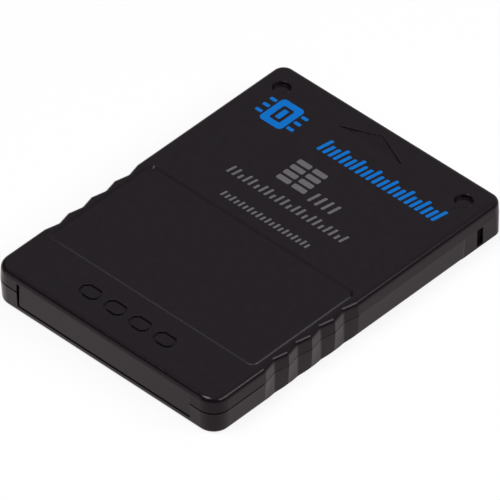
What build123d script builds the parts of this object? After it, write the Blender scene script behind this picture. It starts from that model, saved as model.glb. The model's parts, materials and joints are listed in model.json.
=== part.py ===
"""Console memory card: two snapped shells around a board with its contacts and chips.

Millimetres. X runs across the card, +Y points to the nose, the end that goes into the console,
and +Z is up. The origin is on the underside, in the middle of the card.
"""

import math
import os

from build123d import *

# Overall size, measured at the seam between the two shells, where the drafted walls are widest
card_width = 42.4
card_length = 58.6
card_thickness = 6.3
seam_height = 3.88
handle_corner_radius = 2.8
nose_corner_radius = 2.0
draft_angle = 3.0
top_edge_radius = 0.9
bottom_edge_radius = 0.6

# Shell walls
side_wall = 1.3
floor_thickness = 1.0
roof_thickness = 1.2
inner_corner_radius = 1.0

# Shadow groove at the seam, round the handle and then, lower, along the grips
seam_groove_depth = 0.3
seam_groove_height = 0.26
seam_groove_reach = 9.9
grip_groove_height = 0.12
grip_groove_reach = 29.0

# Finger grips: a row of upright V cuts in each long side, shallower towards the underside
grip_count = 4
grip_from_handle = 19.5
grip_pitch = 4.63
grip_depth = 0.57
grip_base_depth = 0.36
grip_ridge_inset = 0.03
grip_valley_radius = 1.0
grip_overcut = 0.5

# Shallow recess for a label, with sloped sides
label_side_margin = 1.55
label_from_handle = 9.25
label_length = 20.85
label_depth = 0.2
label_corner_radius = 1.2
label_side_slope = 66.0

# Insertion arrow, a triangular recess whose floor falls away from its tip
arrow_width = 12.3
arrow_length = 2.6
arrow_from_nose = 2.2
arrow_tip_depth = 0.12
arrow_base_depth = 0.3

# Round dimples near the nose
dimple_diameter = 2.7
dimple_depth = 0.6
dimple_rim_depth = 0.07
dimple_rim_slope = 66.0
dimple_from_side = 3.85
dimple_from_nose = 4.4

# Engraved row of rings with cut corners, on the handle
engraving_count = 4
engraving_pitch = 4.7
engraving_width = 3.6
engraving_length = 2.6
engraving_corner = 0.8
engraving_stroke = 0.42
engraving_depth = 0.25
engraving_from_handle = 5.0

# Tab of the upper shell that closes the handle end, set back from it
tab_width = 32.5
tab_side_gap = 0.2
tab_bottom_gap = 0.1
tab_recess = 0.3
tab_thickness = 1.2
tab_top_margin = 1.05

# Nose of the lower shell: stepped sides, each with a slot for the console's latch
nose_length = 8.1
nose_inset = 0.3
nose_block_radius = 1.5
nose_step_radius = 0.28
nose_chamfer = 0.15
latch_slot_width = 1.25
latch_slot_depth = 0.55
latch_slot_bottom = 0.45
latch_slot_from_nose = 4.8

# Tongues of the upper shell, with snap beads that click into the lower shell
tongue_thickness = 0.7
tongue_depth = 0.9
tongue_gap = 0.1
tongue_end_margin = 9.0
bead_count = 3
bead_pitch = 14.0
bead_length = 5.0
bead_height = 0.25
bead_drop = 0.5
bead_gap = 0.1

# Circuit board, on rails and two pins of the lower shell and under ribs of the upper one
board_thickness = 0.8
board_standoff = 2.3
board_gap = 0.15
board_tab_gap = 0.6
board_corner_radius = 1.0
rail_width = 1.2
rail_length = 36.0
rail_from_handle = 6.0
pin_diameter = 2.0
pin_gap = 0.1
pin_boss_diameter = 4.0
pin_roof_gap = 0.4
pin_from_board_side = 4.4
pin_from_handle = 6.8
rib_count = 3
rib_pitch = 18.0
rib_thickness = 0.9
rib_end_margin = 2.0

# Contacts behind the mouth in the nose, in groups parted by dividers
contact_group_counts = (3, 2, 3)
contact_pitch = 3.7
contact_width = 2.6
contact_length = 8.5
contact_thickness = 0.05
contact_from_edge = 0.3
divider_width = 0.8
divider_length = 9.0
mouth_margin = 0.8

# Chips and small parts on the underside of the board
chip_standoff = 0.1
chip_taper = 8.0
chip_mark_diameter = 1.0
chip_mark_depth = 0.1
chip_mark_margin = 1.2
lead_thickness = 0.15

flash_size = (18.4, 10.16, 1.0)
flash_clearance = 4.6
flash_lead_count = 22
flash_lead_pitch = 0.8
flash_lead_width = 0.3
flash_lead_shoulder = 0.2
flash_lead_reach = 0.8

controller_size = (10.0, 10.0, 1.4)
controller_clearance = 0.9
controller_lead_count = 11
controller_lead_pitch = 0.8
controller_lead_width = 0.35
controller_lead_shoulder = 0.3
controller_lead_reach = 1.0

capacitor_size = (0.8, 1.6, 0.8)
capacitor_clearance = 1.5
resistor_size = (0.8, 1.6, 0.45)
resistor_count = 5
resistor_pitch = 3.7
resistor_clearance = 3.0
terminal_length = 0.35
terminal_thickness = 0.03

# Sizes and places that follow from the ones above
half_width = card_width / 2
half_length = card_length / 2
inner_width = card_width - 2 * side_wall
inner_length = card_length - 2 * side_wall
roof_underside = card_thickness - roof_thickness
draft_slope = math.tan(math.radians(draft_angle))
label_centre_y = label_from_handle + label_length / 2 - half_length
notch_width = tab_width + 2 * tab_side_gap
tab_bottom = floor_thickness + tab_bottom_gap
tab_top = card_thickness - tab_top_margin
panel_y = tab_recess - half_length
tab_back_y = panel_y + tab_thickness
nose_start_y = half_length - nose_length
tongue_outer_x = inner_width / 2 - tongue_gap
tongue_inner_x = tongue_outer_x - tongue_thickness
board_underside = floor_thickness + board_standoff
board_top = board_underside + board_thickness
board_width = 2 * (tongue_inner_x - board_gap)
board_front_y = inner_length / 2 - board_gap
board_back_y = tab_back_y + board_tab_gap
pin_x = board_width / 2 - pin_from_board_side
pin_places = [(side * pin_x, pin_from_handle - half_length) for side in (-1, 1)]
bead_places = [(index - (bead_count - 1) / 2) * bead_pitch for index in range(bead_count)]
contact_count = sum(contact_group_counts)
contact_places = [(index - (contact_count - 1) / 2) * contact_pitch for index in range(contact_count)]
mouth_width = contact_places[-1] - contact_places[0] + contact_width + 2 * mouth_margin
divider_places = [
    (sum(contact_group_counts[: index + 1]) - contact_count / 2) * contact_pitch
    for index in range(len(contact_group_counts) - 1)
]
contact_front_y = board_front_y - contact_from_edge
resistor_y = contact_front_y - contact_length - resistor_clearance - resistor_size[1] / 2
controller_front_y = resistor_y - resistor_size[1] / 2 - controller_clearance
controller_y = controller_front_y - controller_lead_reach - controller_size[1] / 2
controller_back_y = controller_y - controller_size[1] / 2 - controller_lead_reach
flash_y = controller_back_y - flash_clearance - flash_lead_reach - flash_size[1] / 2
seam_plane = Plane.XY.offset(seam_height)

os.makedirs("parts", exist_ok=True)


# Outline of the card in plan, without its grips
with BuildSketch(seam_plane) as card_outline:
    Rectangle(card_width, card_length)
    fillet(card_outline.vertices().group_by(Axis.Y)[0], handle_corner_radius)
    fillet(card_outline.vertices().group_by(Axis.Y)[-1], nose_corner_radius)

# Grips: each height has V cuts that share their ridges
grip_half = grip_pitch / 2
grip_centre_y = grip_from_handle - half_length
grip_first_y = grip_centre_y - grip_half * (grip_count - 1)
grip_last_y = grip_centre_y + grip_half * (grip_count - 1)


def grip_outline(plane, wall_x, depth):
    """What the grips cut away from one long side at one height."""
    flank = grip_half * grip_overcut / depth
    points = [(wall_x + grip_overcut, grip_first_y - grip_half - flank)]
    for grip in range(grip_count):
        valley_y = grip_first_y + grip * grip_pitch
        points.append((wall_x - depth, valley_y))
        if grip < grip_count - 1:
            points.append((wall_x - grip_ridge_inset, valley_y + grip_half))
    points.append((wall_x + grip_overcut, grip_last_y + grip_half + flank))
    with BuildSketch(plane) as outline:
        with BuildLine():
            Polyline(*points, close=True)
        make_face()
        fillet(outline.vertices().group_by(Axis.X)[0], grip_valley_radius)
    return outline.sketch


# Cutters of the grips: as deep all the way up from the seam, shallower down from it
seam_grips = grip_outline(seam_plane, half_width, grip_depth)
base_grips = grip_outline(Plane.XY, half_width - draft_slope * seam_height, grip_base_depth)
with BuildPart() as upper_grip_cut:
    extrude(seam_grips, amount=card_thickness, dir=(-draft_slope, 0, 1))
    mirror(about=Plane.YZ)
with BuildPart() as lower_grip_cut:
    loft([base_grips, seam_grips], ruled=True)
    mirror(about=Plane.YZ)

# Ring at the edge of the seam, of which the shadow groove takes away a part
with BuildSketch(seam_plane) as seam_ring:
    add(card_outline.sketch)
    with BuildSketch(seam_plane, mode=Mode.SUBTRACT):
        add(card_outline.sketch)
        add(seam_grips, mode=Mode.SUBTRACT)
        add(seam_grips.mirror(Plane.YZ), mode=Mode.SUBTRACT)
        offset(amount=-seam_groove_depth, mode=Mode.REPLACE)

with BuildPart() as seam_groove:
    for reach, height in ((seam_groove_reach, seam_groove_height), (grip_groove_reach, grip_groove_height)):
        with BuildSketch(seam_plane):
            add(seam_ring.sketch)
            with Locations((0, reach - half_length)):
                Rectangle(card_width, card_length, align=(Align.CENTER, Align.MAX), mode=Mode.INTERSECT)
        extrude(amount=-height)

# Cutter of the insertion arrow
arrow_tip_y = half_length - arrow_from_nose
arrow_base_y = arrow_tip_y - arrow_length
with BuildPart() as arrow_cut:
    with BuildSketch(Plane.XY.offset(roof_underside)):
        with BuildLine():
            Polyline(
                (-arrow_width / 2, arrow_base_y),
                (arrow_width / 2, arrow_base_y),
                (0, arrow_tip_y),
                close=True,
            )
        make_face()
    extrude(amount=2 * roof_thickness)
    with BuildSketch(Plane.YZ):
        with BuildLine():
            Polyline(
                (arrow_base_y, card_thickness - arrow_base_depth),
                (arrow_tip_y, card_thickness - arrow_tip_depth),
                (arrow_tip_y, card_thickness + roof_thickness),
                (arrow_base_y, card_thickness + roof_thickness),
                close=True,
            )
        make_face()
    extrude(amount=arrow_width, both=True, mode=Mode.INTERSECT)

# One ring of the engraving
with BuildSketch() as engraving_ring:
    Rectangle(engraving_width, engraving_length)
    chamfer(engraving_ring.vertices(), engraving_corner)
    offset(amount=-engraving_stroke, mode=Mode.SUBTRACT)

# Nose block of the lower shell
with BuildPart() as nose_block:
    with BuildSketch(seam_plane) as nose_outline:
        with Locations((0, half_length)):
            Rectangle(
                card_width - 2 * nose_inset,
                nose_length + nose_step_radius,
                align=(Align.CENTER, Align.MAX),
            )
        fillet(nose_outline.vertices().group_by(Axis.Y)[-1], nose_block_radius)
    extrude(amount=-seam_height)
    nose_bottom = nose_block.faces().sort_by(Axis.Z)[0]
    chamfer(nose_bottom.edges().sort_by(Axis.Y)[1:], nose_chamfer)


# Upper shell
with BuildPart() as upper_shell:
    extrude(card_outline.sketch, amount=card_thickness - seam_height)
    draft(upper_shell.faces().filter_by(Axis.Z, reverse=True), seam_plane, draft_angle)
    add(upper_grip_cut.part, mode=Mode.SUBTRACT)
    fillet(upper_shell.faces().sort_by(Axis.Z)[-1].edges(), top_edge_radius)

    # Hollow
    with BuildSketch(seam_plane):
        RectangleRounded(inner_width, inner_length, inner_corner_radius)
    extrude(amount=roof_underside - seam_height, mode=Mode.SUBTRACT)

    # Label recess
    with BuildSketch(Plane.XY.offset(card_thickness)):
        with Locations((0, label_centre_y)):
            RectangleRounded(card_width - 2 * label_side_margin, label_length, label_corner_radius)
    extrude(amount=-label_depth, taper=label_side_slope, mode=Mode.SUBTRACT)

    # Arrow, dimples and engraved rings
    add(arrow_cut.part, mode=Mode.SUBTRACT)
    dimple_places = [
        (side * (half_width - dimple_from_side), half_length - dimple_from_nose) for side in (-1, 1)
    ]
    with BuildSketch(Plane.XY.offset(card_thickness)):
        with Locations(*dimple_places):
            Circle(dimple_diameter / 2)
    extrude(amount=-dimple_depth, mode=Mode.SUBTRACT)
    dimple_rim_width = dimple_rim_depth * math.tan(math.radians(dimple_rim_slope))
    with BuildSketch(Plane.XY.offset(card_thickness)):
        with Locations(*dimple_places):
            Circle(dimple_diameter / 2 + dimple_rim_width)
    extrude(amount=-dimple_rim_depth, taper=dimple_rim_slope, mode=Mode.SUBTRACT)
    with BuildSketch(Plane.XY.offset(card_thickness)):
        with Locations((0, engraving_from_handle - half_length)):
            with GridLocations(engraving_pitch, engraving_length, engraving_count, 1):
                add(engraving_ring.sketch)
    extrude(amount=-engraving_depth, mode=Mode.SUBTRACT)

    # Wall cut back to the face of the tab, and a slot at each side of it
    with BuildSketch(Plane.XZ.offset(half_length)):
        with Locations((0, seam_height)):
            Rectangle(notch_width, tab_top - seam_height, align=(Align.CENTER, Align.MIN))
    extrude(amount=-tab_recess, mode=Mode.SUBTRACT)
    with BuildSketch(Plane.XZ.offset(half_length)):
        with Locations((0, seam_height)):
            with GridLocations(tab_width + tab_side_gap, tab_side_gap, 2, 1):
                Rectangle(tab_side_gap, tab_top - seam_height, align=(Align.CENTER, Align.MIN))
    extrude(amount=-side_wall, mode=Mode.SUBTRACT)

    # Tab
    with BuildSketch(Plane.XZ.offset(-panel_y)):
        with Locations((0, tab_bottom)):
            Rectangle(tab_width, tab_top - tab_bottom, align=(Align.CENTER, Align.MIN))
    extrude(amount=-tab_thickness)

    # Side tongues with snap beads
    with BuildSketch(Plane.XY.offset(seam_height - tongue_depth)):
        with Locations((tongue_inner_x, 0), (-tongue_outer_x, 0)):
            Rectangle(
                tongue_thickness,
                card_length - 2 * tongue_end_margin,
                align=(Align.MIN, Align.CENTER),
            )
    extrude(amount=roof_underside - seam_height + tongue_depth)
    with BuildSketch(*[Plane.XZ.offset(-bead_y) for bead_y in bead_places]):
        with BuildLine():
            Polyline(
                (tongue_outer_x, seam_height - bead_drop - bead_height),
                (tongue_outer_x + bead_height, seam_height - bead_drop),
                (tongue_outer_x, seam_height - bead_drop + bead_height),
                close=True,
            )
        make_face()
        mirror(about=Plane.YZ)
    extrude(amount=bead_length / 2, both=True)

    # Ribs that hold the board down
    with BuildSketch(Plane.XY.offset(board_top)):
        with GridLocations(board_width, rib_pitch, 1, rib_count):
            Rectangle(board_width - 2 * rib_end_margin, rib_thickness)
    extrude(amount=roof_underside - board_top)

upper_shell.part.label = "upper_shell"
export_step(upper_shell.part, "parts/upper_shell.step")


# Lower shell
with BuildPart() as lower_shell:
    extrude(card_outline.sketch, amount=-seam_height)
    draft(lower_shell.faces().filter_by(Axis.Z, reverse=True), seam_plane, -draft_angle)
    fillet(lower_shell.faces().sort_by(Axis.Z)[0].edges(), bottom_edge_radius)
    add(lower_grip_cut.part, mode=Mode.SUBTRACT)
    add(seam_groove.part, mode=Mode.SUBTRACT)

    # Stepped nose and latch slots
    with BuildSketch(seam_plane):
        with Locations((0, nose_start_y)):
            Rectangle(card_width, nose_length, align=(Align.CENTER, Align.MIN))
    extrude(amount=-seam_height, mode=Mode.SUBTRACT)
    step_edges = lower_shell.faces().sort_by(Axis.Y)[-1].edges().group_by(Axis.X)
    fillet(step_edges[0] + step_edges[-1], nose_step_radius)
    add(nose_block.part)
    with BuildSketch(seam_plane):
        with Locations((half_width - nose_inset - latch_slot_depth, half_length - latch_slot_from_nose)):
            Rectangle(2 * latch_slot_depth, latch_slot_width, align=(Align.MIN, Align.CENTER))
        mirror(about=Plane.YZ)
    extrude(amount=latch_slot_bottom - seam_height, mode=Mode.SUBTRACT)

    # Hollow
    with BuildSketch(seam_plane):
        RectangleRounded(inner_width, inner_length, inner_corner_radius)
    extrude(amount=floor_thickness - seam_height, mode=Mode.SUBTRACT)

    # Notch for the tab, down to the floor, whose edge is the lip under the tab
    with BuildSketch(Plane.XZ.offset(half_length)):
        with Locations((0, floor_thickness)):
            Rectangle(notch_width, seam_height - floor_thickness, align=(Align.CENTER, Align.MIN))
    extrude(amount=-side_wall, mode=Mode.SUBTRACT)

    # Mouth for the console's contacts: one window for each group of pads
    mouth_edges = [-mouth_width / 2]
    for divider_x in divider_places:
        mouth_edges += [divider_x - divider_width / 2, divider_x + divider_width / 2]
    mouth_edges.append(mouth_width / 2)
    with BuildSketch(Plane.XZ.offset(-half_length)):
        for left, right in zip(mouth_edges[0::2], mouth_edges[1::2]):
            with Locations((left, floor_thickness)):
                Rectangle(right - left, seam_height - floor_thickness, align=Align.MIN)
    extrude(amount=side_wall, mode=Mode.SUBTRACT)

    # Dividers behind the mouth, side rails and pin bosses, all up to the board
    with BuildSketch(Plane.XY.offset(floor_thickness)):
        with Locations(*[(divider_x, inner_length / 2) for divider_x in divider_places]):
            Rectangle(divider_width, divider_length, align=(Align.CENTER, Align.MAX))
        for side in (-1, 1):
            with Locations((side * (board_width - rail_width) / 2, rail_from_handle - half_length)):
                Rectangle(rail_width, rail_length, align=(Align.CENTER, Align.MIN))
        with Locations(*pin_places):
            Circle(pin_boss_diameter / 2)
    extrude(amount=board_standoff)
    with BuildSketch(Plane.XY.offset(board_underside)):
        with Locations(*pin_places):
            Circle(pin_diameter / 2)
    extrude(amount=roof_underside - pin_roof_gap - board_underside)

    # Pockets for the snap beads
    with BuildSketch(*[Plane.XZ.offset(-bead_y) for bead_y in bead_places]):
        with BuildLine():
            Polyline(
                (tongue_outer_x, seam_height - bead_drop - bead_height - bead_gap),
                (tongue_outer_x + bead_height + bead_gap, seam_height - bead_drop),
                (tongue_outer_x, seam_height - bead_drop + bead_height + bead_gap),
                close=True,
            )
        make_face()
        mirror(about=Plane.YZ)
    extrude(amount=bead_length / 2 + bead_gap, both=True, mode=Mode.SUBTRACT)

lower_shell.part.label = "lower_shell"
export_step(lower_shell.part, "parts/lower_shell.step")


# Circuit board
with BuildPart() as circuit_board:
    with BuildSketch(Plane.XY.offset(board_underside)):
        with Locations((0, (board_front_y + board_back_y) / 2)):
            RectangleRounded(board_width, board_front_y - board_back_y, board_corner_radius)
        with Locations(*pin_places):
            Circle(pin_diameter / 2 + pin_gap, mode=Mode.SUBTRACT)
    extrude(amount=board_thickness)

circuit_board.part.label = "circuit_board"
export_step(circuit_board.part, "parts/circuit_board.step")


# Contact pads, on the underside of the board at its front edge
for number, contact_x in enumerate(contact_places, start=1):
    with BuildPart() as contact_pad:
        with BuildSketch(Plane.XY.offset(board_underside)):
            with Locations((contact_x, contact_front_y)):
                Rectangle(contact_width, contact_length, align=(Align.CENTER, Align.MAX))
        extrude(amount=-contact_thickness)
    contact_pad.part.label = f"contact_pad_{number}"
    export_step(contact_pad.part, f"parts/contact_pad_{number}.step")


def chip_body(size, centre_y):
    """A moulded chip that hangs under the board, with drafted sides and a pin mark."""
    size_x, size_y, size_z = size
    bottom = board_underside - chip_standoff - size_z
    middle = bottom + size_z / 2
    half_rise = (size_z - lead_thickness) / 2
    with BuildPart() as body:
        with BuildSketch(Plane.XY.offset(middle)):
            with Locations((0, centre_y)):
                Rectangle(size_x, size_y)
        extrude(amount=lead_thickness / 2, both=True)
        extrude(body.faces().sort_by(Axis.Z)[-1], amount=half_rise, taper=chip_taper)
        extrude(body.faces().sort_by(Axis.Z)[0], amount=half_rise, taper=chip_taper)
        with BuildSketch(Plane.XY.offset(bottom)):
            with Locations((chip_mark_margin - size_x / 2, centre_y + chip_mark_margin - size_y / 2)):
                Circle(chip_mark_diameter / 2)
        extrude(amount=chip_mark_depth, mode=Mode.SUBTRACT)
    return body.part


def gull_wing_leads(size, planes, width, shoulder, reach):
    """Leads that leave the chip halfway up its side and turn to a foot on the board."""
    rise = chip_standoff + size[2] / 2
    half = lead_thickness / 2
    with BuildPart() as leads:
        with BuildSketch(*planes):
            with BuildLine():
                Polyline(
                    (0, -half),
                    (shoulder + lead_thickness, -half),
                    (shoulder + lead_thickness, rise - lead_thickness),
                    (reach, rise - lead_thickness),
                    (reach, rise),
                    (shoulder, rise),
                    (shoulder, half),
                    (0, half),
                    close=True,
                )
            make_face()
        extrude(amount=width / 2, both=True)
    return leads.part


def lead_planes(size, centre_y, outward, count, pitch):
    """Planes of one row of leads: x points away from the chip's side and y points up."""
    middle = board_underside - chip_standoff - size[2] / 2
    along = Vector(-outward.Y, outward.X, 0)
    side = Vector(outward.X * size[0] / 2, centre_y + outward.Y * size[1] / 2, middle)
    return [
        Plane(
            side + along * (index - (count - 1) / 2) * pitch,
            x_dir=outward,
            z_dir=outward.cross(Vector(0, 0, 1)),
        )
        for index in range(count)
    ]


# Flash memory chip, with leads along its two long sides
flash_chip = chip_body(flash_size, flash_y)
flash_chip.label = "flash_chip"
export_step(flash_chip, "parts/flash_chip.step")

flash_planes = []
for outward in (Vector(0, 1, 0), Vector(0, -1, 0)):
    flash_planes += lead_planes(flash_size, flash_y, outward, flash_lead_count, flash_lead_pitch)
flash_chip_leads = gull_wing_leads(
    flash_size, flash_planes, flash_lead_width, flash_lead_shoulder, flash_lead_reach
)
flash_chip_leads.label = "flash_chip_leads"
export_step(flash_chip_leads, "parts/flash_chip_leads.step")

# Controller chip, with leads on all four sides
controller_chip = chip_body(controller_size, controller_y)
controller_chip.label = "controller_chip"
export_step(controller_chip, "parts/controller_chip.step")

controller_planes = []
for outward in (Vector(1, 0, 0), Vector(0, 1, 0), Vector(-1, 0, 0), Vector(0, -1, 0)):
    controller_planes += lead_planes(
        controller_size, controller_y, outward, controller_lead_count, controller_lead_pitch
    )
controller_chip_leads = gull_wing_leads(
    controller_size,
    controller_planes,
    controller_lead_width,
    controller_lead_shoulder,
    controller_lead_reach,
)
controller_chip_leads.label = "controller_chip_leads"
export_step(controller_chip_leads, "parts/controller_chip_leads.step")


def two_terminal_part(size, centre_x, centre_y):
    """A small ceramic block with a metal cap at each end, soldered under the board."""
    size_x, size_y, size_z = size
    with BuildPart() as block:
        with BuildSketch(Plane.XY.offset(board_underside)):
            with Locations((centre_x, centre_y)):
                with GridLocations(size_x, size_y - terminal_length, 1, 2):
                    Rectangle(size_x, terminal_length)
        extrude(amount=-size_z)
        with BuildSketch(Plane.XY.offset(board_underside - terminal_thickness)):
            with Locations((centre_x, centre_y)):
                Rectangle(size_x - 2 * terminal_thickness, size_y - terminal_length)
        extrude(amount=2 * terminal_thickness - size_z)
    return block.part


# Capacitors, one on each side of each chip
flash_capacitor_x = flash_size[0] / 2 + capacitor_clearance
controller_capacitor_x = controller_size[0] / 2 + controller_lead_reach + capacitor_clearance
capacitor_places = [
    (-flash_capacitor_x, flash_y),
    (flash_capacitor_x, flash_y),
    (-controller_capacitor_x, controller_y),
    (controller_capacitor_x, controller_y),
]
for number, (capacitor_x, capacitor_y) in enumerate(capacitor_places, start=1):
    capacitor = two_terminal_part(capacitor_size, capacitor_x, capacitor_y)
    capacitor.label = f"capacitor_{number}"
    export_step(capacitor, f"parts/capacitor_{number}.step")

# Resistors, in a row between the controller and the contacts
for number in range(1, resistor_count + 1):
    resistor_x = (number - (resistor_count + 1) / 2) * resistor_pitch
    resistor = two_terminal_part(resistor_size, resistor_x, resistor_y)
    resistor.label = f"resistor_{number}"
    export_step(resistor, f"parts/resistor_{number}.step")
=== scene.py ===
"""Looks of the console memory card: plastics, print, the parts inside, floor, light and camera.

Metres, in the frame of the card: X across, +Y to the nose, +Z up, origin mid underside.
"""

import json
import math

import bmesh
import bpy
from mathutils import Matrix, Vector


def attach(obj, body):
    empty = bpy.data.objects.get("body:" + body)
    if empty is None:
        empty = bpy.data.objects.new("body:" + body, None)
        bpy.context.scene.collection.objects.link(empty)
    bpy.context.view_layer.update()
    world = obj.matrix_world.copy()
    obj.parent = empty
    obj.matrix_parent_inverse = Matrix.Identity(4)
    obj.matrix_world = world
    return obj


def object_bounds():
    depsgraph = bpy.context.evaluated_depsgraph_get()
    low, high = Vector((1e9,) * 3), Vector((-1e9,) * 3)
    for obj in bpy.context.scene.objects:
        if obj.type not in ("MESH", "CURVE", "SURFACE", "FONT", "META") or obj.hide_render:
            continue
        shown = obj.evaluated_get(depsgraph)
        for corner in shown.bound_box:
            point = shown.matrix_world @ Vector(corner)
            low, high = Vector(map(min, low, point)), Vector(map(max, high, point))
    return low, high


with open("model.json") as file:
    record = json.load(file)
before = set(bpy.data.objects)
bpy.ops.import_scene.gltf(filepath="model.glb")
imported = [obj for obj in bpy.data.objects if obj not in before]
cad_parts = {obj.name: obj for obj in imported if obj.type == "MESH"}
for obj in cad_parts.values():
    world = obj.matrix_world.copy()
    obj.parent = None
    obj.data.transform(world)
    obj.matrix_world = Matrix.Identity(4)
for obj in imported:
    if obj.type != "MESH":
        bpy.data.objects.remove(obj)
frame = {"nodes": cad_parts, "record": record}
cad_low, cad_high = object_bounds()

MM = 0.001

# Camera: direction from the card, distance and field, and how far its aim is off the card's middle
CAMERA_AZIMUTH = 43.41
CAMERA_ELEVATION = 41.96
CAMERA_DISTANCE = 1.5
CAMERA_LENS = 778.7
CAMERA_SENSOR = 36.0
AIM_POINT = Vector((0.04 * MM, -0.02 * MM, 0.0))
AIM_RISE = 1.97 * MM
AIM_RIGHT = 0.08 * MM

# Floor: white to the lens; in gloss a pool beside the card is bright and the far floor is faint
FLOOR_SIZE = 12.0
FLOOR_COLOUR = (0.16, 0.16, 0.16)
FLOOR_ROUGHNESS = 0.9
LENS_GLOW = (0.85, 0.85, 0.85)
GLOSS_GLOW = (0.85, 0.782, 0.799)
POOL_CENTRE = (-0.060, -0.020, 0.0)
POOL_REACH = (0.055, 0.17)
POOL_FALL = (1.0, 0.15)

# Studio: a dome overhead, by the angle to its axis, walls that are pale only near the floor, and lamps
DOME_AXIS = (0.0, 0.5, 0.866)
DOME_REACH = (0.38, 0.75)
DOME_STRENGTH = 0.37
WALL_REACH = (0.02, 0.06)
WALL_STRENGTH = 0.8
LAMPS = {
    "key_softbox": {"place": (-0.2, -0.42, 1.0), "size": (0.5, 0.5), "power": 6.5},
    "edge_softbox": {"place": (0.335, 0.075, 0.31), "size": (0.38, 0.18), "power": 0.9},
    "front_card": {"place": (-0.45, -0.65, 0.12), "size": (0.34, 0.34), "power": 0.30},
    "back_card": {"place": (-0.64, 0.48, 0.05), "size": (0.52, 0.1), "power": 0.105},
}

# Colours, as linear values, and the share of gloss
PLASTIC = (0.0101, 0.0077, 0.0102)
PLASTIC_SPECULAR = 0.23
PLASTIC_TINT = (1.0, 0.85, 0.91)
BLUE_INK = (0.002, 0.165, 0.590)
GREY_INK = (0.140, 0.134, 0.143)
INK_SPECULAR = 0.1
SOLDER_RESIST = (0.012, 0.120, 0.045)
GOLD = (0.83, 0.60, 0.24)
EPOXY = (0.022, 0.022, 0.024)
TIN = (0.62, 0.62, 0.60)
CERAMIC = (0.50, 0.36, 0.22)
RESISTOR = (0.020, 0.020, 0.022)

# Grain of the materials: octaves of the noise, their weight, the span in use, and samples of a soft edge
NOISE_DETAIL = 3.0
NOISE_ROUGHNESS = 0.6
NOISE_SPAN = (0.3, 0.7)
EDGE_SAMPLES = 6

# Print on the upper shell, in millimetres: film, emblem, memory cells, and rows of leaning bars
INK_THICKNESS = 0.012
INK_SINK = 0.004
CORNER_STEPS = 4
EMBLEM_CENTRE = (-13.4, 20.8)
EMBLEM_BODY = {"width": 4.2, "height": 5.4, "radius": 0.7}
EMBLEM_WINDOW = {"width": 2.0, "height": 3.2, "radius": 0.3}
EMBLEM_CORE = {"width": 0.9, "height": 2.1, "radius": 0.2}
EMBLEM_PIN = {"width": 1.2, "height": 0.6, "radius": 0.2}
EMBLEM_PIN_GAP = 0.3
EMBLEM_PIN_PITCH = 1.5
CELL = {"width": 2.45, "height": 0.95, "radius": 0.25}
CELL_PITCH = (2.95, 1.4)
CELL_GRID = (2, 4)
CELL_CENTRE = (-2.35, 13.15)
BAR_LEAN = 0.16
BAR_ROUNDING = 0.3
TITLE_ROW = {
    "left": -4.8,
    "right": 17.4,
    "base": 18.8,
    "count": 22,
    "width": 0.58,
    "heights": (2.8, 2.1, 2.1),
}
UNIT_ROW = {
    "left": 1.6,
    "right": 6.0,
    "base": 10.0,
    "count": 4,
    "width": 0.5,
    "heights": (2.2,),
}
FIRST_ROW = {
    "left": -10.8,
    "right": 11.0,
    "base": 6.75,
    "count": 22,
    "width": 0.42,
    "heights": (1.7, 1.7, 1.05),
}
SECOND_ROW = {
    "left": -8.05,
    "right": 8.25,
    "base": 2.6,
    "count": 20,
    "width": 0.38,
    "heights": (1.2, 0.95),
}


# Nodes, for a material or the world


def add_node(owner, kind, values=None, **settings):
    """A new node with its settings and, by socket name or number, its input values."""
    node = owner.node_tree.nodes.new(kind)
    for key, value in settings.items():
        setattr(node, key, value)
    for socket, value in (values or {}).items():
        node.inputs[socket].default_value = value
    return node


def link(owner, source, target):
    owner.node_tree.links.new(source, target)


def combine(owner, operation, first, second):
    """One operation on two values."""
    node = add_node(owner, "ShaderNodeMath", operation=operation)
    link(owner, first, node.inputs[0])
    link(owner, second, node.inputs[1])
    return node.outputs["Value"]


def fade(owner, source, reach, fall, curve="LINEAR"):
    """A value that goes over the source's reach from the first to the second of fall."""
    names = ("From Min", "From Max", "To Min", "To Max")
    node = add_node(
        owner,
        "ShaderNodeMapRange",
        values=dict(zip(names, reach + fall)),
        interpolation_type=curve,
    )
    link(owner, source, node.inputs["Value"])
    return node.outputs["Result"]


# Materials


def new_material(name):
    """A material with its node tree, and that tree's shader."""
    material = bpy.data.materials.new(name)
    material.use_nodes = True
    return material, material.node_tree.nodes["Principled BSDF"]


def grain(material, size):
    """Noise whose blotches are about this size, fixed to the object."""
    coordinates = add_node(material, "ShaderNodeTexCoord")
    noise = add_node(
        material,
        "ShaderNodeTexNoise",
        values={"Scale": 1.0 / size, "Detail": NOISE_DETAIL, "Roughness": NOISE_ROUGHNESS},
    )
    link(material, coordinates.outputs["Object"], noise.inputs["Vector"])
    return noise.outputs["Fac"]


def vary_colour(material, shader, colour, spread, size):
    """Base colour that drifts a little lighter and darker over blotches of this size."""
    ramp = add_node(material, "ShaderNodeValToRGB")
    for stop, position, share in zip(ramp.color_ramp.elements, NOISE_SPAN, (1 - spread, 1 + spread)):
        stop.position = position
        stop.color = [channel * share for channel in colour] + [1]
    link(material, grain(material, size), ramp.inputs["Fac"])
    link(material, ramp.outputs["Color"], shader.inputs["Base Color"])


def vary_roughness(material, shader, low, high, size):
    """Roughness that drifts between two values over blotches of this size."""
    drift = fade(material, grain(material, size), NOISE_SPAN, (low, high))
    link(material, drift, shader.inputs["Roughness"])


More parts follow.
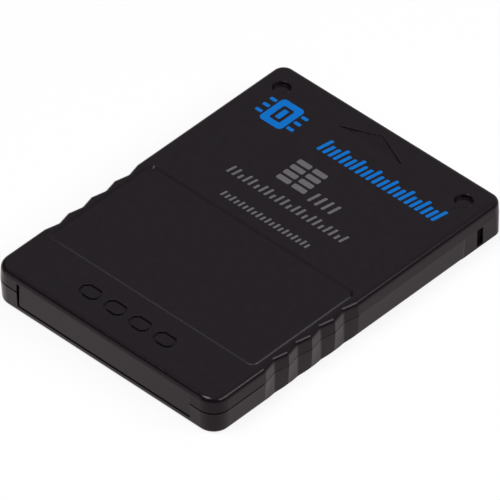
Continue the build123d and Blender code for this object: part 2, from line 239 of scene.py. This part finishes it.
def raise_grain(material, shader, size, height, edge=0.0):
    """Bump from fine noise, and softened edges of this radius."""
    bump = add_node(material, "ShaderNodeBump", values={"Strength": 1.0, "Distance": height})
    link(material, grain(material, size), bump.inputs["Height"])
    if edge:
        soft = add_node(material, "ShaderNodeBevel", values={"Radius": edge}, samples=EDGE_SAMPLES)
        link(material, soft.outputs["Normal"], bump.inputs["Normal"])
    link(material, bump.outputs["Normal"], shader.inputs["Normal"])


def make_moulded_plastic():
    """Black moulded shell plastic: satin, with the fine spark-eroded grain of the mould."""
    material, shader = new_material("moulded_plastic")
    shader.inputs["Specular IOR Level"].default_value = PLASTIC_SPECULAR
    shader.inputs["Specular Tint"].default_value = PLASTIC_TINT + (1,)
    vary_colour(material, shader, PLASTIC, spread=0.10, size=1.2 * MM)
    vary_roughness(material, shader, low=0.13, high=0.17, size=0.5 * MM)
    raise_grain(material, shader, size=0.09 * MM, height=0.0006 * MM, edge=0.05 * MM)
    return material


def make_ink(name, colour):
    """Pad-printed ink: a thin satin film, a little uneven."""
    material, shader = new_material(name)
    shader.inputs["Specular IOR Level"].default_value = INK_SPECULAR
    vary_colour(material, shader, colour, spread=0.05, size=0.25 * MM)
    vary_roughness(material, shader, low=0.42, high=0.52, size=0.2 * MM)
    raise_grain(material, shader, size=0.12 * MM, height=0.0008 * MM)
    return material


def make_solder_resist():
    """Green lacquer of the board, blotchy and a little wavy."""
    material, shader = new_material("solder_resist")
    vary_colour(material, shader, SOLDER_RESIST, spread=0.25, size=0.8 * MM)
    vary_roughness(material, shader, low=0.25, high=0.38, size=0.4 * MM)
    raise_grain(material, shader, size=0.7 * MM, height=0.01 * MM)
    return material


def make_metal(name, colour, low, high):
    """Plated metal with a slightly uneven polish."""
    material, shader = new_material(name)
    shader.inputs["Metallic"].default_value = 1.0
    vary_colour(material, shader, colour, spread=0.08, size=0.6 * MM)
    vary_roughness(material, shader, low, high, size=0.15 * MM)
    raise_grain(material, shader, size=0.1 * MM, height=0.001 * MM)
    return material


def make_moulding(name, colour, size):
    """Moulded or fired filler with a grainy, matt surface."""
    material, shader = new_material(name)
    vary_colour(material, shader, colour, spread=0.15, size=size)
    vary_roughness(material, shader, low=0.5, high=0.65, size=size)
    raise_grain(material, shader, size=size, height=0.004 * MM)
    return material


def dress_nodes():
    """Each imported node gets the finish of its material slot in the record."""
    finishes = {
        "shell": make_moulded_plastic(),
        "board": make_solder_resist(),
        "contact": make_metal("gold_plate", GOLD, low=0.18, high=0.30),
        "chip": make_moulding("chip_epoxy", EPOXY, size=0.08 * MM),
        "lead": make_metal("tinned_lead", TIN, low=0.30, high=0.45),
        "ceramic": make_moulding("capacitor_ceramic", CERAMIC, size=0.1 * MM),
        "resistor": make_moulding("resistor_glaze", RESISTOR, size=0.1 * MM),
    }
    for subpart in frame["record"]["subparts"]:
        node = frame["nodes"][subpart["node"]]
        node.data.materials.clear()
        node.data.materials.append(finishes[subpart["material_slot"]])


# Print


def rounded_outline(width, height, radius, lean=0.0):
    """Points of a rounded bar about the origin, which leans to the right by this share of its rise."""
    points = []
    for quarter, (side_x, side_y) in enumerate(((1, 1), (-1, 1), (-1, -1), (1, -1))):
        for step in range(CORNER_STEPS + 1):
            angle = (quarter + step / CORNER_STEPS) * math.pi / 2
            x = side_x * (width / 2 - radius) + radius * math.cos(angle)
            y = side_y * (height / 2 - radius) + radius * math.sin(angle)
            points.append((x + lean * y, y))
    return points


def add_ink(mesh, outline, centre, window=None):
    """A thin closed film with this outline, and with a window if one is given."""
    low = cad_high.z / MM - INK_SINK
    high = cad_high.z / MM + INK_THICKNESS

    def ring(points, z):
        return [
            mesh.verts.new(((centre[0] + x) * MM, (centre[1] + y) * MM, z * MM)) for x, y in points
        ]

    def wall(lower, upper):
        for index in range(len(lower)):
            after = (index + 1) % len(lower)
            mesh.faces.new((lower[index], lower[after], upper[after], upper[index]))

    bottom, top = ring(outline, low), ring(outline, high)
    wall(bottom, top)
    if window:
        inner_bottom, inner_top = ring(window, low), ring(window, high)
        wall(inner_top, inner_bottom)
        wall(top, inner_top)
        wall(inner_bottom, bottom)
    else:
        mesh.faces.new(top)
        mesh.faces.new(reversed(bottom))


def finish_print(name, mesh, ink):
    """The film as a piece of the scene that rides on the card."""
    data = bpy.data.meshes.new(name)
    mesh.to_mesh(data)
    mesh.free()
    data.materials.append(ink)
    piece = bpy.data.objects.new(name, data)
    bpy.context.scene.collection.objects.link(piece)
    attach(piece, "root")


def print_emblem(ink):
    """Pictogram of a chip: a body with a window and a core, and pins at both sides."""
    mesh = bmesh.new()
    add_ink(mesh, rounded_outline(**EMBLEM_BODY), EMBLEM_CENTRE, rounded_outline(**EMBLEM_WINDOW))
    add_ink(mesh, rounded_outline(**EMBLEM_CORE), EMBLEM_CENTRE)
    pin_reach = EMBLEM_BODY["width"] / 2 + EMBLEM_PIN_GAP + EMBLEM_PIN["width"] / 2
    for side in (-1, 1):
        for row in (-1, 0, 1):
            x = EMBLEM_CENTRE[0] + side * pin_reach
            y = EMBLEM_CENTRE[1] + row * EMBLEM_PIN_PITCH
            add_ink(mesh, rounded_outline(**EMBLEM_PIN), (x, y))
    finish_print("print_emblem", mesh, ink)


def print_row(name, row, ink):
    """A row of leaning bars, whose heights repeat along it."""
    mesh = bmesh.new()
    width = row["width"]
    pitch = (row["right"] - row["left"] - width) / (row["count"] - 1)
    for index in range(row["count"]):
        height = row["heights"][index % len(row["heights"])]
        outline = rounded_outline(width, height, BAR_ROUNDING * width, BAR_LEAN)
        x = row["left"] + width / 2 + index * pitch
        add_ink(mesh, outline, (x, row["base"] + height / 2))
    finish_print(name, mesh, ink)


def print_cells(ink):
    """A block of memory cells, in columns and rows."""
    mesh = bmesh.new()
    columns, rows = CELL_GRID
    for column in range(columns):
        for row in range(rows):
            x = CELL_CENTRE[0] + (column - (columns - 1) / 2) * CELL_PITCH[0]
            y = CELL_CENTRE[1] + (row - (rows - 1) / 2) * CELL_PITCH[1]
            add_ink(mesh, rounded_outline(**CELL), (x, y))
    finish_print("print_cells", mesh, ink)


def make_print():
    """All the print on the upper shell."""
    blue = make_ink("blue_ink", BLUE_INK)
    grey = make_ink("grey_ink", GREY_INK)
    print_emblem(blue)
    print_row("print_title", TITLE_ROW, blue)
    print_cells(grey)
    print_row("print_unit", UNIT_ROW, grey)
    print_row("print_line_1", FIRST_ROW, grey)
    print_row("print_line_2", SECOND_ROW, grey)


# Studio


def make_floor_white():
    """White that glows to the lens, and in gloss brightly in the pool and faintly beyond it."""
    material, shader = new_material("floor_white")
    shader.inputs["Base Color"].default_value = FLOOR_COLOUR + (1,)
    shader.inputs["Roughness"].default_value = FLOOR_ROUGHNESS
    shader.inputs["Specular IOR Level"].default_value = 0.0
    path = add_node(material, "ShaderNodeLightPath")
    to_lens, to_gloss = path.outputs["Is Camera Ray"], path.outputs["Is Glossy Ray"]

    place = add_node(material, "ShaderNodeTexCoord")
    away = add_node(material, "ShaderNodeVectorMath", values={1: POOL_CENTRE}, operation="DISTANCE")
    link(material, place.outputs["Object"], away.inputs[0])
    pool = fade(material, away.outputs["Value"], POOL_REACH, POOL_FALL)
    in_gloss = combine(material, "MULTIPLY", pool, to_gloss)
    strength = combine(material, "MAXIMUM", to_lens, in_gloss)
    link(material, strength, shader.inputs["Emission Strength"])

    glow = add_node(
        material,
        "ShaderNodeMixRGB",
        values={"Color1": LENS_GLOW + (1,), "Color2": GLOSS_GLOW + (1,)},
    )
    link(material, to_gloss, glow.inputs["Fac"])
    link(material, glow.outputs["Color"], shader.inputs["Emission Color"])
    return material


def make_floor():
    """Wide floor under the card, which keeps the card's shadow."""
    half = FLOOR_SIZE / 2
    corners = [(-half, -half, 0), (half, -half, 0), (half, half, 0), (-half, half, 0)]
    mesh = bpy.data.meshes.new("floor")
    mesh.from_pydata(corners, [], [(0, 1, 2, 3)])
    mesh.materials.append(make_floor_white())
    floor = bpy.data.objects.new("floor", mesh)
    bpy.context.scene.collection.objects.link(floor)


def make_world():
    """Studio dome and walls, by the direction's angle to the dome's axis and by its height."""
    world = bpy.data.worlds.new("studio")
    world.use_nodes = True
    bpy.context.scene.world = world
    direction = add_node(world, "ShaderNodeTexCoord").outputs["Generated"]
    along = add_node(world, "ShaderNodeVectorMath", values={1: DOME_AXIS}, operation="DOT_PRODUCT")
    link(world, direction, along.inputs[0])
    split = add_node(world, "ShaderNodeSeparateXYZ")
    link(world, direction, split.inputs["Vector"])
    dome = fade(world, along.outputs["Value"], DOME_REACH, (0.0, DOME_STRENGTH), "SMOOTHSTEP")
    walls = fade(world, split.outputs["Z"], WALL_REACH, (WALL_STRENGTH, 0.0), "SMOOTHSTEP")
    background = world.node_tree.nodes["Background"]
    background.inputs["Color"].default_value = (1, 1, 1, 1)
    link(world, combine(world, "ADD", dome, walls), background.inputs["Strength"])


def make_lamp(name, place, size, power):
    """Rectangular lamp of this width and height, turned to the card."""
    lamp = bpy.data.lights.new(name, "AREA")
    lamp.shape = "RECTANGLE"
    lamp.size, lamp.size_y = size
    lamp.energy = power
    holder = bpy.data.objects.new(name, lamp)
    holder.location = place
    holder.rotation_mode = "QUATERNION"
    holder.rotation_quaternion = Vector(place).to_track_quat("Z", "Y")
    bpy.context.scene.collection.objects.link(holder)


def make_camera():
    """Long lens at the photo's viewing angle."""
    azimuth = math.radians(CAMERA_AZIMUTH)
    elevation = math.radians(CAMERA_ELEVATION)
    back = Vector(
        (
            math.sin(azimuth) * math.cos(elevation),
            -math.cos(azimuth) * math.cos(elevation),
            math.sin(elevation),
        )
    )
    right = Vector((math.cos(azimuth), math.sin(azimuth), 0))
    aim = AIM_POINT + back.cross(right) * AIM_RISE + right * AIM_RIGHT
    data = bpy.data.cameras.new("camera")
    data.sensor_width = CAMERA_SENSOR
    data.lens = CAMERA_LENS
    camera = bpy.data.objects.new("camera", data)
    camera.location = aim + back * CAMERA_DISTANCE
    camera.rotation_mode = "QUATERNION"
    camera.rotation_quaternion = back.to_track_quat("Z", "Y")
    bpy.context.scene.collection.objects.link(camera)
    bpy.context.scene.camera = camera


dress_nodes()
make_print()
make_floor()
make_world()
for lamp_name, lamp_settings in LAMPS.items():
    make_lamp(lamp_name, **lamp_settings)
make_camera()
bpy.context.scene.view_settings.view_transform = "Standard"
